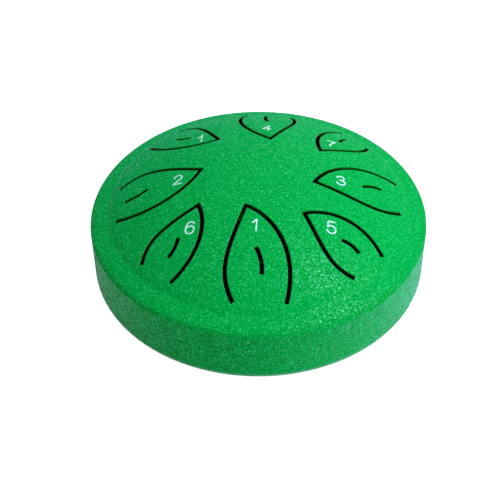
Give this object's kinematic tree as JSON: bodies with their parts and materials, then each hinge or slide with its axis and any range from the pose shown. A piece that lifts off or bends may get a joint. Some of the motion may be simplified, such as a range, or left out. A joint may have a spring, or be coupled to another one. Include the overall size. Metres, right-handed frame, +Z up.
{
  "type": "tongue drum",
  "caption": "Small steel tongue drum: a domed shell with leaf-shaped tongues cut in its top, a straight wall, and a base plate with a sound hole on rubber feet.",
  "frame": {"origin": "on the ground under the middle of the drum, level with the underside of its feet", "axes": "+Z up along the drum's axis; the longest tongue, note 1, points to -Y, where the player sits, and +X is to the player's right"},
  "size_m": [0.155, 0.155, 0.0544],
  "materials": {
    "coated_steel": "vivid green powder coat with a fine sandy grain, satin",
    "foot_rubber": "black moulded rubber, matt",
    "zinc_steel": "bright zinc plate",
    "white_print": "thin white printed numerals, matt"
  },
  "bodies": {
    "root": {"top_shell": "coated_steel", "base_plate": "coated_steel", "foot_1": "foot_rubber", "foot_2": "foot_rubber", "foot_3": "foot_rubber", "foot_4": "foot_rubber", "foot_screw_1": "zinc_steel", "foot_screw_2": "zinc_steel", "foot_screw_3": "zinc_steel", "foot_screw_4": "zinc_steel", "foot_washer_1": "zinc_steel", "foot_washer_2": "zinc_steel", "foot_washer_3": "zinc_steel", "foot_washer_4": "zinc_steel", "foot_nut_1": "zinc_steel", "foot_nut_2": "zinc_steel", "foot_nut_3": "zinc_steel", "foot_nut_4": "zinc_steel"}
  },
  "joints": []
}
